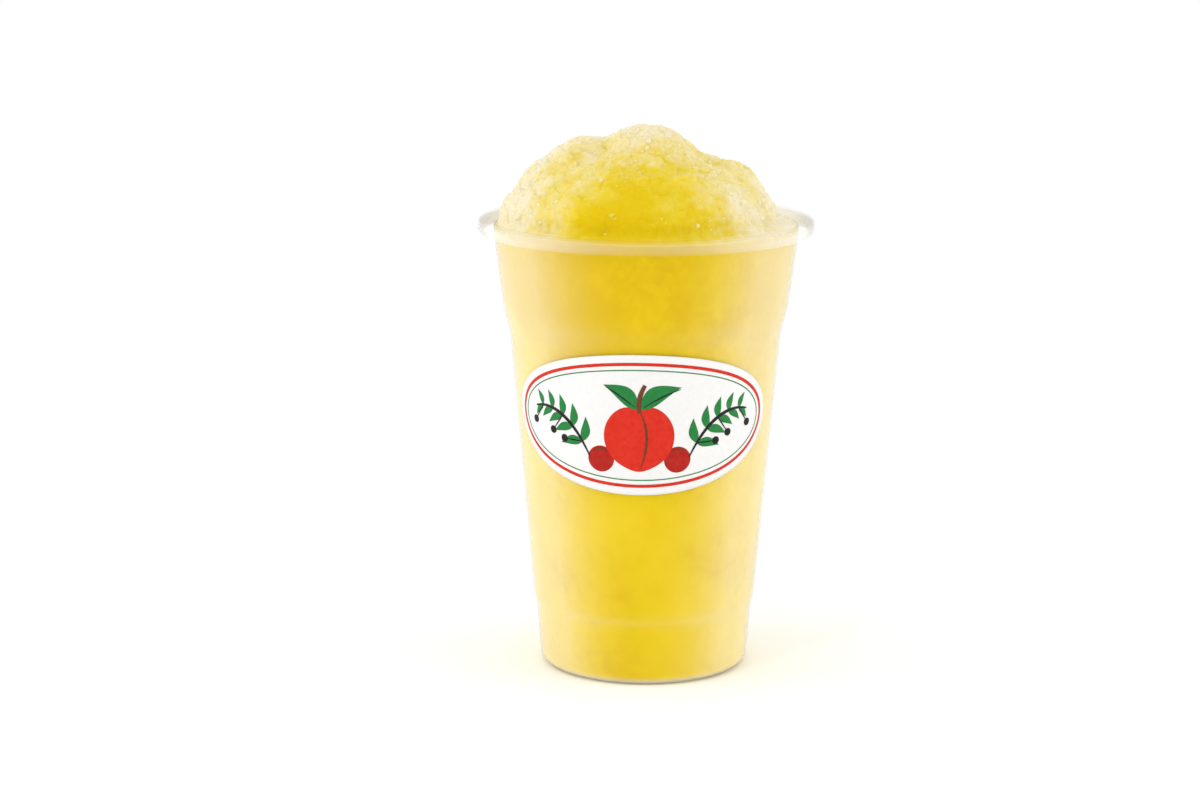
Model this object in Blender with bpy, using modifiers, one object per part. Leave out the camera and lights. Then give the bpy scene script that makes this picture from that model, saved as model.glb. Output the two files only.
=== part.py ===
"""A clear plastic cup heaped with yellow fruit slush, with a plain oval label.

Units are metres and +Z is up. The cup stands on z = 0 with its axis on Z, and its label faces -Y.
"""
import math

import bmesh
import bpy
from mathutils import Vector, noise

MM = 0.001

# Cup, outside
RIM_RADIUS = 47.5 * MM
CUP_HEIGHT = 129.0 * MM
LIP_HEIGHT = 4.1 * MM
LIP_SLOPE = 2.0 * MM
LIP_CORNER = 1.3 * MM
LIP_END_RADIUS = 1.1 * MM
LIP_END = -110.0
NECK_RADIUS = 43.1 * MM
BAND_FOOT_RADIUS = 40.5 * MM
BAND_FOOT_Z = 103.8 * MM
WALL_TOP_RADIUS = 38.65 * MM
WALL_TOP_Z = 97.0 * MM
WALL_FOOT_RADIUS = 31.75 * MM
WALL_FOOT_Z = 20.2 * MM
HEEL_TOP_RADIUS = 30.9 * MM
HEEL_TOP_Z = 17.4 * MM
HEEL_FOOT_RADIUS = 29.8 * MM
CORNER_RADIUS = 3.2 * MM
CORNER_END = -4.0

# Cup, sheet and standing ring
WALL = 0.6 * MM
RING_WIDTH = 2.4 * MM
RECESS = 1.5 * MM
RECESS_SLOPE = 1.8 * MM

# Fit between neighbouring pieces
GAP = 0.3 * MM

# Slush
LEVEL_Z = 127.2 * MM
HEAP_EYE_Z = 120.0 * MM
LEVEL_CROWN = 9.5 * MM
HEAP_BLEND = 1.3 * MM
HEAP_EDGE = 0.07
CRAG_SIZE = 8.0 * MM
CRAG_DEPTH = 1.1 * MM
LUMP_SIZE = 4.2 * MM
LUMP_DEPTH = 0.6 * MM

# Scoops of the heap: centre across, centre towards the back, top, radius and height
SCOOPS = {
    "dome": (-1.5, 0.0, 149.3, 39.4, 23.9),
    "crown": (-0.5, 0.0, 155.1, 15.8, 12.7),
    "left_shoulder": (-18.0, -1.0, 151.9, 11.5, 11.6),
    "left_step": (-27.0, 1.0, 145.1, 9.0, 7.1),
    "left_foot": (-31.5, -1.0, 136.8, 14.0, 16.0),
    "right_shoulder": (24.0, 0.0, 145.0, 9.3, 13.6),
    "right_step": (21.5, -2.0, 146.3, 6.5, 10.0),
    "crown_front": (2.0, -9.0, 152.0, 12.0, 11.0),
    "crown_back": (-4.0, 10.0, 151.0, 13.0, 11.0),
    "front_left_lump": (-14.0, -24.0, 141.0, 11.0, 11.0),
    "front_right_lump": (11.0, -21.0, 144.5, 12.0, 11.0),
    "back_left_lump": (-9.0, 24.0, 143.5, 12.0, 11.0),
    "back_right_lump": (13.0, 20.0, 144.5, 11.0, 11.0),
}

# Label
LABEL_TURN = math.radians(-2.5)
LABEL_HALF_ANGLE = math.radians(66.0)
LABEL_CENTRE_Z = 76.5 * MM
LABEL_HALF_HEIGHT = 20.0 * MM
LABEL_THICKNESS = 0.3 * MM

# Fineness
CUP_STEPS = 64
HEAP_CELLS = 40
LABEL_COLUMNS = 22
LABEL_ROWS = 10
LIP_POINTS = 4
CURL_POINTS = 4
CORNER_POINTS = 4
SMOOTH_ANGLE = math.radians(40.0)
MERGE = 0.00001


def remove_scene_objects():
    for scene_object in list(bpy.data.objects):
        bpy.data.objects.remove(scene_object, do_unlink=True)


def new_collection(name):
    collection = bpy.data.collections.new(name)
    bpy.context.scene.collection.children.link(collection)
    return collection


def new_material(name, colour, roughness):
    material = bpy.data.materials.new(name)
    material.use_nodes = True
    shader = material.node_tree.nodes["Principled BSDF"]
    shader.inputs["Base Color"].default_value = (*colour, 1.0)
    shader.inputs["Roughness"].default_value = roughness
    shader.inputs["Metallic"].default_value = 0.0
    material.diffuse_color = (*colour, 1.0)
    return material


def cup_material():
    material = new_material("frosted_plastic", (0.93, 0.92, 0.86), 0.22)
    shader = material.node_tree.nodes["Principled BSDF"]
    shader.inputs["Alpha"].default_value = 0.35
    return material


def slush_material():
    return new_material("yellow_slush", (0.86, 0.66, 0.06), 0.45)


def label_material():
    return new_material("white_label", (0.90, 0.90, 0.89), 0.40)


def arc(centre_r, centre_z, radius_r, radius_z, start, end, points):
    """Points of an elliptical arc in the profile plane, both ends included, angles in degrees."""
    path = []
    for index in range(points):
        angle = math.radians(start + (end - start) * index / (points - 1))
        path.append((centre_r + radius_r * math.cos(angle), centre_z + radius_z * math.sin(angle)))
    return path


def inner_floor():
    """Inner face of the base, from the axis out to the standing ring's outer edge."""
    ring_outer = HEEL_FOOT_RADIUS - CORNER_RADIUS
    ring_inner = ring_outer - RING_WIDTH
    floor_z = WALL + RECESS
    return [(0.0, floor_z), (ring_inner - RECESS_SLOPE, floor_z), (ring_inner, WALL)]


def inner_corner(inset=0.0):
    """Inner face of the rounded corner between the base and the wall, or a face inset from it."""
    bend = CORNER_RADIUS - WALL - inset
    centre_r = HEEL_FOOT_RADIUS - CORNER_RADIUS
    return arc(centre_r, CORNER_RADIUS, bend, bend, -90.0, CORNER_END, CORNER_POINTS)


def inner_wall():
    """Inner face of the wall, from above the corner up to the neck under the rim."""
    neck_z = CUP_HEIGHT - LIP_HEIGHT - WALL
    outside = [
        (HEEL_TOP_RADIUS, HEEL_TOP_Z),
        (WALL_FOOT_RADIUS, WALL_FOOT_Z),
        (WALL_TOP_RADIUS, WALL_TOP_Z),
        (BAND_FOOT_RADIUS, BAND_FOOT_Z),
        (NECK_RADIUS, neck_z),
    ]
    return [(radius - WALL, height) for radius, height in outside]


def lip():
    """Visible face of the rolled rim, from the inside over the top and down to its curled end."""
    crest_r = RIM_RADIUS - LIP_CORNER
    slope_width = crest_r - (NECK_RADIUS - WALL)
    slope = arc(crest_r, CUP_HEIGHT - LIP_SLOPE, slope_width, LIP_SLOPE, 180.0, 90.0, LIP_POINTS)
    corner = arc(crest_r, CUP_HEIGHT - LIP_CORNER, LIP_CORNER, LIP_CORNER, 90.0, 0.0, LIP_POINTS)
    end_r = RIM_RADIUS - LIP_END_RADIUS
    end_z = CUP_HEIGHT - LIP_HEIGHT + LIP_END_RADIUS
    curl = arc(end_r, end_z, LIP_END_RADIUS, LIP_END_RADIUS, 0.0, LIP_END, CURL_POINTS)
    return slope + corner[1:] + curl


def wall_radius(height):
    """Outer radius of the tapered main wall at a height."""
    share = (height - WALL_FOOT_Z) / (WALL_TOP_Z - WALL_FOOT_Z)
    return WALL_FOOT_RADIUS + share * (WALL_TOP_RADIUS - WALL_FOOT_RADIUS)


def make_cup(collection):
    """Sheet turned round the axis: its profile is the visible inner face, and Solidify adds the outside."""
    profile = inner_floor() + inner_corner() + inner_wall() + lip()
    vertices = [(radius, 0.0, height) for radius, height in profile]
    edges = [(index, index + 1) for index in range(len(profile) - 1)]
    mesh = bpy.data.meshes.new("cup")
    mesh.from_pydata(vertices, edges, [])
    cup = bpy.data.objects.new("cup", mesh)
    collection.objects.link(cup)
    mesh.materials.append(cup_material())

    turn = cup.modifiers.new("turn", "SCREW")
    turn.axis = "Z"
    turn.steps = CUP_STEPS
    turn.render_steps = CUP_STEPS
    turn.use_merge_vertices = True
    turn.merge_threshold = MERGE

    sheet = cup.modifiers.new("sheet", "SOLIDIFY")
    sheet.thickness = WALL
    sheet.offset = -1.0
    sheet.use_even_offset = True
    return cup


def square_to_disc(u, v):
    """Ring share and angle for a point of the square from -1 to 1, whose square rings become circles."""
    ring = max(abs(u), abs(v))
    if ring == 0.0:
        return 0.0, 0.0
    if abs(u) >= abs(v):
        angle = math.pi / 4 * v / u
        if u < 0.0:
            angle += math.pi
    else:
        angle = math.pi / 2 - math.pi / 4 * u / v
        if v < 0.0:
            angle += math.pi
    return ring, angle


def smooth_step(low, high, value):
    share = min(1.0, max(0.0, (value - low) / (high - low)))
    return share * share * (3.0 - 2.0 * share)


def exit_distance(eye, direction, centre, radius, height):
    """Distance from the eye to the far side of an upright ellipsoid, or nothing where the ray misses it."""
    axes = Vector((radius, radius, height))
    start = Vector([(eye[i] - centre[i]) / axes[i] for i in range(3)])
    step = Vector([direction[i] / axes[i] for i in range(3)])
    along = start.dot(step)
    square = along * along - step.dot(step) * (start.dot(start) - 1.0)
    if square < 0.0:
        return 0.0
    return max(0.0, (math.sqrt(square) - along) / step.dot(step))


def crags(point):
    """Relief of the icy surface: broad crags and smaller lumps."""
    broad = noise.noise(point / CRAG_SIZE)
    small = noise.noise(point / LUMP_SIZE + Vector((7.0, 3.0, 5.0)))
    return CRAG_DEPTH * broad + LUMP_DEPTH * small


def heap_point(ring, angle, edge_radius):
    """Point of the slush's top: rays fan out from a low point inside it, and the farthest scoop gives the surface."""
    eye = Vector((0.0, 0.0, HEAP_EYE_Z))
    rise = LEVEL_Z - HEAP_EYE_Z
    polar = ring * math.atan2(edge_radius, rise)
    direction = Vector((math.sin(polar) * math.cos(angle), math.sin(polar) * math.sin(angle), math.cos(polar)))
    level_radius = edge_radius / math.sqrt(1.0 - (rise / LEVEL_CROWN) ** 2)
    level = exit_distance(eye, direction, eye, level_radius, LEVEL_CROWN)
    total = 1.0
    for across, back, top, radius, height in SCOOPS.values():
        centre = Vector((across, back, top - height)) * MM
        far = exit_distance(eye, direction, centre, radius * MM, height * MM)
        total += math.exp((far - level) / HEAP_BLEND)
    heaped = HEAP_BLEND * math.log(total)
    relief = crags(eye + direction * (level + heaped))
    inside = 1.0 - smooth_step(1.0 - HEAP_EDGE, 1.0, ring)
    return eye + direction * (level + (heaped + relief) * inside)


def flat_share():
    """Share of a corner's radius at which the middle of the cup's flat facets lies."""
    return math.cos(math.pi / CUP_STEPS)


def slush_sides():
    """Rings of the slush below its top edge, top to bottom, a gap inside the cup's inner face."""
    wall = [(radius * flat_share() - GAP, height) for radius, height in inner_wall()]
    corner = [(radius * flat_share(), height) for radius, height in inner_corner(GAP)]
    floor = [(radius + GAP / 2, height + GAP) for radius, height in inner_floor()[1:]]
    return list(reversed(floor + corner + wall))


def edge_radius():
    """Radius of the slush's top edge, a gap inside the band below the rim."""
    return (NECK_RADIUS - WALL) * flat_share() - GAP


def make_slush(collection):
    """Solid slush: a grid draped over the heap, its edge extruded down the cup's inner face to the base."""
    shape = bmesh.new()
    bmesh.ops.create_grid(shape, x_segments=HEAP_CELLS, y_segments=HEAP_CELLS, size=1.0)
    top_radius = edge_radius()
    for vertex in shape.verts:
        ring, angle = square_to_disc(vertex.co.x, vertex.co.y)
        vertex.co = heap_point(ring, angle, top_radius)
    edge = [line for line in shape.edges if line.is_boundary]
    for radius, height in slush_sides():
        result = bmesh.ops.extrude_edge_only(shape, edges=edge)
        edge = [item for item in result["geom"] if isinstance(item, bmesh.types.BMEdge)]
        for vertex in {end for line in edge for end in line.verts}:
            outward = Vector((vertex.co.x, vertex.co.y, 0.0)).normalized()
            vertex.co = outward * radius + Vector((0.0, 0.0, height))
    bmesh.ops.contextual_create(shape, geom=edge)
    bmesh.ops.recalc_face_normals(shape, faces=shape.faces)
    mesh = bpy.data.meshes.new("slush")
    shape.to_mesh(mesh)
    shape.free()
    mesh.shade_smooth()
    mesh.set_sharp_from_angle(angle=SMOOTH_ANGLE)
    mesh.materials.append(slush_material())
    slush = bpy.data.objects.new("slush", mesh)
    collection.objects.link(slush)
    return slush


def make_label(collection):
    """Thin oval label wrapped round the front of the main wall."""
    shape = bmesh.new()
    bmesh.ops.create_grid(shape, x_segments=LABEL_COLUMNS, y_segments=LABEL_ROWS, size=1.0)
    for vertex in shape.verts:
        ring, angle = square_to_disc(vertex.co.x, vertex.co.y)
        turn = LABEL_TURN + ring * math.cos(angle) * LABEL_HALF_ANGLE
        height = LABEL_CENTRE_Z + ring * math.sin(angle) * LABEL_HALF_HEIGHT
        radius = wall_radius(height) + GAP + LABEL_THICKNESS
        vertex.co = Vector((radius * math.sin(turn), -radius * math.cos(turn), height))
    mesh = bpy.data.meshes.new("label")
    shape.to_mesh(mesh)
    shape.free()
    mesh.shade_smooth()
    mesh.materials.append(label_material())
    label = bpy.data.objects.new("label", mesh)
    collection.objects.link(label)

    sheet = label.modifiers.new("sheet", "SOLIDIFY")
    sheet.thickness = LABEL_THICKNESS
    sheet.offset = -1.0
    sheet.use_even_offset = True
    return label


def build():
    remove_scene_objects()
    collection = new_collection("slush_cup")
    make_cup(collection)
    make_slush(collection)
    make_label(collection)


build()
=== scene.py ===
"""Looks of a clear plastic cup heaped with yellow fruit slush, with a plain oval label on its front.

Units are metres, +Z is up and the cup's front, with its label, faces -Y.
"""
import math

import bmesh
import bpy
import numpy as np
from mathutils import Euler, Matrix, Vector, noise
from mathutils.bvhtree import BVHTree


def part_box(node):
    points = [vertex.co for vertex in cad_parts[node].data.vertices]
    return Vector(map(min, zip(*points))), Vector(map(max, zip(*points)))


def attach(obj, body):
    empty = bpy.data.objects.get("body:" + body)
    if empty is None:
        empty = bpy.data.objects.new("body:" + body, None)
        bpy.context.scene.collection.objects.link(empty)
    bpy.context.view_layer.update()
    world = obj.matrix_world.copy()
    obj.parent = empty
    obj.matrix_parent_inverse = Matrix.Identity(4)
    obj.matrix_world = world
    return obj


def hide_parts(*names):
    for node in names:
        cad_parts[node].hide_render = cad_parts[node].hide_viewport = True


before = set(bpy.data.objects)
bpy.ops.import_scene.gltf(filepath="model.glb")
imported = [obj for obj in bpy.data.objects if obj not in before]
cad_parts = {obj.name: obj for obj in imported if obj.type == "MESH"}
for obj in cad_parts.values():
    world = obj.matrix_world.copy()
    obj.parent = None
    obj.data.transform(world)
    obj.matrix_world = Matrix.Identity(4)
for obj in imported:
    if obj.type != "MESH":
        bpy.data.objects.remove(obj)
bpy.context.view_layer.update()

MM = 0.001

# Photo and camera: the cup's axis at AIM_Z is drawn at this pixel of the 1200 x 800 frame
FRAME_WIDTH = 1200
FRAME_HEIGHT = 800
AIM_PIXEL = (645.9, 421.3)
AIM_Z = 70.0 * MM
CAMERA_DISTANCE = 0.928
CAMERA_RISE = math.radians(11.73)
CAMERA_ROLL = math.radians(0.2)
PIXELS_PER_METRE = 3494.0
SENSOR_WIDTH = 36.0
CLIP_START = 0.01
CLIP_END = 50.0

# Studio: a round floor, and for each light its name, place, size in metres and power in watts
FLOOR_RADIUS = 1.4
FLOOR_SIDES = 96
LIGHTS = [
    ("left_light", (-1.2, -0.2, 0.5), 0.8, 3.4),
    ("right_light", (1.2, -0.2, 0.5), 0.8, 3.0),
    ("key_light", (-0.5, -0.8, 1.1), 0.14, 1.2),
]

# Cup: its outer radii and heights from the rim down, its sheet's thickness and its recessed base
RIM_RADIUS = 47.5 * MM
CUP_HEIGHT = 129.0 * MM
LIP_HEIGHT = 4.1 * MM
LIP_SLOPE = 2.0 * MM
LIP_CORNER = 1.3 * MM
LIP_END_RADIUS = 1.1 * MM
LIP_END = -110.0
NECK_RADIUS = 43.1 * MM
BAND_FOOT_RADIUS = 40.5 * MM
BAND_FOOT_Z = 103.8 * MM
WALL_TOP_RADIUS = 38.65 * MM
WALL_TOP_Z = 97.0 * MM
WALL_FOOT_RADIUS = 31.75 * MM
WALL_FOOT_Z = 20.2 * MM
HEEL_TOP_RADIUS = 30.9 * MM
HEEL_TOP_Z = 17.4 * MM
HEEL_FOOT_RADIUS = 29.8 * MM
CORNER_RADIUS = 3.2 * MM
CORNER_END = -4.0
WALL = 0.6 * MM
RING_WIDTH = 2.4 * MM
RECESS = 1.5 * MM
RECESS_SLOPE = 1.8 * MM
SHOULDER_ROUNDING = 2.6 * MM
RECESS_ROUNDING = 0.7 * MM

# A bend takes at most this share of the straight stretch on each side of it
LONGEST_CUT = 0.45

# Points along the cup's bends and round its axis
CUP_STEPS = 192
CUP_BEND_POINTS = 7
CUP_CORNER_POINTS = 12
LIP_SLOPE_POINTS = 13
LIP_ARC_POINTS = 10
MERGE_DISTANCE = 0.01 * MM

# Milky share of the cup's wall, from the slant where it starts to a grazing angle
HAZE_START = 0.08
HAZE_GRAZING = 0.65
HAZE_POWER = 1.8
HAZE_MOST = 0.245

# Milky share of the rolled rim, seen head on and at a grazing angle
LIP_HAZE_HEAD_ON = 0.09
LIP_HAZE_GRAZING = 0.33
LIP_HAZE_POWER = 1.25
LIP_HAZE_MOST = 0.38
LIP_HAZE_SPREAD = 0.08
LIP_NOISE_LOW = 0.3
LIP_NOISE_HIGH = 0.7
LIP_EDGE_SHARE = 0.05

# The rim's milky share falls off towards its foot and along its crest
LIP_FOOT_FADE = 1.6 * MM
LIP_FOOT_SHARE = 0.3
LIP_CREST_DEPTH = 1.5 * MM
LIP_CREST_SHARE = 0.5
# Painted shade: a grey tint on the clear plastic along the crest, standing in for refraction of darker
# surroundings, and how far down from the top it reaches
CREST_PAINTED_SHADE = (0.955, 0.955, 0.96)
CREST_SHADE_DEPTH = 0.7 * MM

# Slush: its level at the wall, and how it meets the cup
LEVEL_Z = 127.2 * MM
REACH = 0.1 * MM
EDGE_DROP = 0.15 * MM
EDGE_REACH = 0.35 * MM
WALL_BEND_POINTS = 4
WALL_CORNER_POINTS = 7

# Grid draped over the heap, seen from a point inside it
HEAP_EYE_Z = 120.0 * MM
HEAP_CELLS = 256
SMOOTHING_ROUNDS = 10

# Icy relief of the heap: sizes in metres, heights in mm
LUMP_SIZE = 7.0 * MM
CLUMP_SIZE = 4.4 * MM
GRAIN_SIZE = 1.5 * MM
LUMP_HEIGHT = 0.5
CLUMP_HEIGHT = 0.85
GRAIN_HEIGHT = 0.42
SUNK_IN_SYRUP = 0.5
RELIEF_FADE = 0.05

# One ice grain of the relief, as shares of its size, and where its random numbers are drawn
GRAIN_RISE = 0.20
GRAIN_LEAN = 0.45
GROOVE_DEPTH = 0.22
GROOVE_SHARE = 0.28
SEED_SCALE = 9.7
LEAN_SHIFT = (4.0, 9.0, 2.0)
CLUMP_SHIFT = (3.0, 8.0, 1.0)
GRAIN_SHIFT = (1.0, 2.0, 7.0)

# How much paler or darker each grain of the relief looks
GRAIN_CONTRAST = 0.17
GRAIN_TONE = 0.5
GRAIN_GROOVE_TONE = 0.3
CLUMP_TONE = 0.2
CLUMP_GROOVE_TONE = 0.1

# Places where syrup stands in the heap's ice, as x, y, z and radius in mm
SYRUP_POOLS = [
    (-5.0, -42.0, 128.0, 30.0),
    (26.0, 33.0, 129.0, 20.0),
    (-30.0, 30.0, 130.0, 17.0),
]

# A pool's depth at its middle, and how much less deep it is one radius away
POOL_DEPTH = 1.6
POOL_FALL = 1.3

# A pool's syrup colour fades out between these shares of its radius
POOL_INNER = 0.35
POOL_OUTER = 1.25

# How pale the heap is: by height, partly because syrup has run off its top and partly as painted sheen
# there; more towards the heap's edge as painted light shining through it; and in clouds
PALE_FOOT_Z = 143.0 * MM
PALE_TOP_Z = 155.0 * MM
PALE_FOOT = 0.56
PALE_TOP = 0.98
# Painted light: the heap grows paler towards its edge, between these distances from the axis
EDGE_LIGHT_INNER = 22.0 * MM
EDGE_LIGHT_OUTER = 40.0 * MM
EDGE_PAINTED_LIGHT = 0.5
WIDE_CLOUDS = 0.17
SMALL_CLOUDS = 0.1

# Slush behind the plastic: each cell's own shade, and a deeper yellow in its upper part
CELL_CONTRAST = 0.07
PALER_TO_Z = 80.0 * MM
DEEPER_FROM_Z = 99.0 * MM
PALER_BELOW = 0.02
DEEPER_ABOVE = -0.18

# Range that nearly all of a cloudy noise's values lie in
NOISE_LOW = 0.35
NOISE_HIGH = 0.65

# Loose ice chips on the heap
CHIP_SEED = 11
CHIP_COUNT = 380
CHIP_CLUSTER = 9.0 * MM
CHIP_RADIUS = 0.6 * MM
CHIP_SPREAD = 0.34
CHIP_STRETCH = (0.6, 1.25)
CHIP_JAG = 0.12
CHIP_SINK = (-0.75, -0.25)
CHIPS_IN_SYRUP = 0.2
SYRUP_MARGIN = 0.3
CLUSTER_STRENGTH = 2.6
CHIPS_BETWEEN = 0.1
LEAST_PALER = -0.05
MOST_PALER = 0.35

# Label
LABEL_TURN = math.radians(-2.5)
LABEL_HALF_ANGLE = math.radians(66.0)
LABEL_CENTRE_Z = 76.5 * MM
LABEL_HALF_HEIGHT = 20.0 * MM
LABEL_LIFT = 0.03 * MM
LABEL_THICKNESS = 0.25 * MM
LABEL_COLUMNS = 96
LABEL_ROWS = 56

# Ink of the label's print: the step from one film to the next, and the colours
INK_GAP = 0.02 * MM
INKS = {
    "dark_red": (0.40, 0.012, 0.006),
    "red": (0.62, 0.022, 0.008),
    "green": (0.015, 0.19, 0.04),
    "brown": (0.15, 0.04, 0.015),
    "black": (0.01, 0.01, 0.01),
}
INK_THINNING = 1.12
PAPER_SHOWING = 0.012

# Layout of the print: here and below, lengths and places are in mm from the flat label's middle
MOTIF_SCALE = 1.1
BAND_INSET = 2.6
BAND_WIDTH = 0.9
LINE_INSET = 4.3
LINE_WIDTH = 0.3
LINE_STEPS = 220
STROKE_STEPS = 30

# Shape of every leaf, as shares of its length and width
LEAF_BEND = 0.12
LEAF_FULLNESS = 0.8
LEAF_NARROWING = 0.25
LEAF_COLUMNS = 20
LEAF_ROWS = 6

# Fruit in the middle of the label, and a small one at each side of it
PEACH_CENTRE = (0.0, -3.0)
PEACH_RADIUS = 8.6
PEACH_WIDENING = 1.04
CLEFT_DEPTH = 0.16
CLEFT_ANGLE = 0.32
POINT_HEIGHT = 0.05
POINT_ANGLE = 0.3
PEACH_CELLS = 40
SMALL_FRUIT_PLACE = (9.9, -9.0)
SMALL_FRUIT_HALF_WIDTH = 3.5
SMALL_FRUIT_HALF_HEIGHT = 3.4

# Twig at the label's right side: its stem, its pairs of leaves, and the berries at every other pair
TWIG_FOOT = (13.0, -8.5)
TWIG_BEND = (19.5, 5.5)
TWIG_TIP = (30.0, 2.5)
STEM_WIDTH = 0.9
LEAF_PAIRS = 5
FIRST_PAIR = 0.14
PAIR_STEP = 0.18
FOOT_LEAN = 52.0
LEAN_LOSS = 48.0
LEAF_SPREAD = 0.95
FIRST_LEAF = 6.6
LEAF_LOSS = 0.6
LEAF_WIDTH_SHARE = 0.42
TWIG_LEAF_BEND = 0.08
FIRST_BERRY = (5.4, 0.2)
NEXT_BERRIES = (3.4, -4.2)
BERRY_RADIUS = 1.0
BERRY_CELLS = 8
BERRY_STALK_BEND = 0.3
FINE_STROKE = 0.35


def link(thing):
    bpy.context.scene.collection.objects.link(thing)
    return thing


def make_camera():
    """Camera at the photo's viewing angle, turned so that the cup stands where the photo has it."""
    focal_pixels = PIXELS_PER_METRE * CAMERA_DISTANCE
    yaw = math.atan((AIM_PIXEL[0] - FRAME_WIDTH / 2) / focal_pixels)
    lift = math.atan((AIM_PIXEL[1] - FRAME_HEIGHT / 2) / focal_pixels)
    data = bpy.data.cameras.new("camera")
    data.sensor_width = SENSOR_WIDTH
    data.lens = focal_pixels * SENSOR_WIDTH / FRAME_WIDTH
    data.clip_start = CLIP_START
    data.clip_end = CLIP_END
    camera = link(bpy.data.objects.new("camera", data))
    back = CAMERA_DISTANCE * math.cos(CAMERA_RISE)
    rise = AIM_Z + CAMERA_DISTANCE * math.sin(CAMERA_RISE)
    camera.location = (0.0, -back, rise)
    aim = Euler((math.pi / 2 - CAMERA_RISE + lift, 0.0, yaw)).to_matrix()
    camera.rotation_euler = (aim @ Matrix.Rotation(CAMERA_ROLL, 3, "Z")).to_euler()
    bpy.context.scene.camera = camera


def area_light(name, location, size, power):
    """Soft square light that faces the middle of the cup."""
    data = bpy.data.lights.new(name, "AREA")
    data.shape = "SQUARE"
    data.size = size
    data.energy = power
    light = link(bpy.data.objects.new(name, data))
    light.location = location
    towards = Vector((0.0, 0.0, AIM_Z)) - light.location
    light.rotation_euler = towards.to_track_quat("-Z", "Y").to_euler()


def make_lights():
    """Area lights in an evenly white surround."""
    for name, location, size, power in LIGHTS:
        area_light(name, location, size, power)
    world = bpy.data.worlds.new("studio")
    world.use_nodes = True
    set_inputs(world.node_tree.nodes["Background"], Color=(1.0, 1.0, 1.0, 1.0), Strength=1.0)
    bpy.context.scene.world = world
    bpy.context.scene.view_settings.view_transform = "Standard"


def set_inputs(node, **values):
    """Sets a node's inputs by name, with _ for a space."""
    for name, value in values.items():
        node.inputs[name.replace("_", " ")].default_value = value


def new_material(name, **values):
    """Material with its node tree and its Principled shader, whose inputs are set by name."""
    material = bpy.data.materials.new(name)
    material.use_nodes = True
    shader = material.node_tree.nodes["Principled BSDF"]
    set_inputs(shader, **values)
    return material, material.node_tree, shader


def add_node(tree, kind, **values):
    """New node with its inputs set by name."""
    node = tree.nodes.new(kind)
    set_inputs(node, **values)
    return node


def colour_ramp(tree, source, stops):
    """Ramp from a 0 to 1 value through (place, colour) stops."""
    ramp = tree.nodes.new("ShaderNodeValToRGB")
    elements = ramp.color_ramp.elements
    elements[0].position = stops[0][0]
    elements[0].color = (*stops[0][1], 1.0)
    elements[1].position = stops[-1][0]
    elements[1].color = (*stops[-1][1], 1.0)
    for place, colour in stops[1:-1]:
        element = elements.new(place)
        element.color = (*colour, 1.0)
    tree.links.new(source, ramp.inputs["Fac"])
    return ramp.outputs["Color"]


def darkened(tree, colour, tint, share):
    """The colour multiplied by a tint, as much as the share says."""
    node = tree.nodes.new("ShaderNodeMix")
    node.data_type = "RGBA"
    node.blend_type = "MULTIPLY"
    sockets = {socket.identifier: socket for socket in node.inputs}
    tree.links.new(share, sockets["Factor_Float"])
    tree.links.new(colour, sockets["A_Color"])
    sockets["B_Color"].default_value = (*tint, 1.0)
    results = {socket.identifier: socket for socket in node.outputs}
    return results["Result_Color"]


def mapped_range(tree, source, low, high, out_low=0.0, out_high=1.0):
    """The value, with the range from low to high mapped to the one from out_low to out_high."""
    node = add_node(
        tree,
        "ShaderNodeMapRange",
        From_Min=low,
        From_Max=high,
        To_Min=out_low,
        To_Max=out_high,
    )
    tree.links.new(source, node.inputs["Value"])
    return node.outputs["Result"]


def maths(tree, operation, first, second):
    """Output of a Math node whose two inputs are numbers or sockets."""
    node = tree.nodes.new("ShaderNodeMath")
    node.operation = operation
    for socket, value in zip(node.inputs, (first, second)):
        if isinstance(value, bpy.types.NodeSocket):
            tree.links.new(value, socket)
        else:
            socket.default_value = value
    return node.outputs["Value"]


def vector_maths(tree, operation, source, fixed=None):
    """Outputs of a Vector Math node, whose second input is a fixed vector where it takes one."""
    node = tree.nodes.new("ShaderNodeVectorMath")
    node.operation = operation
    tree.links.new(source, node.inputs[0])
    if fixed is not None:
        node.inputs[1].default_value = fixed
    return node.outputs


def object_point(tree):
    return tree.nodes.new("ShaderNodeTexCoord").outputs["Object"]


def height_of(tree):
    """Height of the shaded point above the floor, in metres."""
    split = tree.nodes.new("ShaderNodeSeparateXYZ")
    tree.links.new(object_point(tree), split.inputs["Vector"])
    return split.outputs["Z"]


def from_axis(tree):
    """Level vector from the cup's axis to the shaded point."""
    return vector_maths(tree, "MULTIPLY", object_point(tree), (1.0, 1.0, 0.0))["Vector"]


def axis_distance(tree):
    """Distance of the shaded point from the cup's axis, in metres."""
    return vector_maths(tree, "LENGTH", from_axis(tree))["Value"]


def outward(tree):
    """Direction straight out from the cup's axis."""
    return vector_maths(tree, "NORMALIZE", from_axis(tree))["Vector"]


def distance_from(tree, centre):
    """Distance of the shaded point from a fixed one, in metres."""
    return vector_maths(tree, "DISTANCE", object_point(tree), centre)["Value"]


def cloudy_noise(tree, scale, detail, roughness=0.6):
    node = add_node(tree, "ShaderNodeTexNoise", Scale=scale, Detail=detail, Roughness=roughness)
    tree.links.new(object_point(tree), node.inputs["Vector"])
    return node.outputs["Fac"]


def icy_cells(tree, scale):
    """Voronoi node with cells of about the size of an ice grain."""
    node = add_node(tree, "ShaderNodeTexVoronoi", Scale=scale)
    tree.links.new(object_point(tree), node.inputs["Vector"])
    return node


def cell_number(tree, cells):
    """Random number from 0 to 1 of the cell that the shaded point is in."""
    split = tree.nodes.new("ShaderNodeSeparateColor")
    tree.links.new(cells.outputs["Color"], split.inputs["Color"])
    return split.outputs["Red"]


def bump(tree, shader, height, distance, strength):
    node = add_node(tree, "ShaderNodeBump", Strength=strength, Distance=distance)
    tree.links.new(height, node.inputs["Height"])
    tree.links.new(node.outputs["Normal"], shader.inputs["Normal"])


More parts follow.
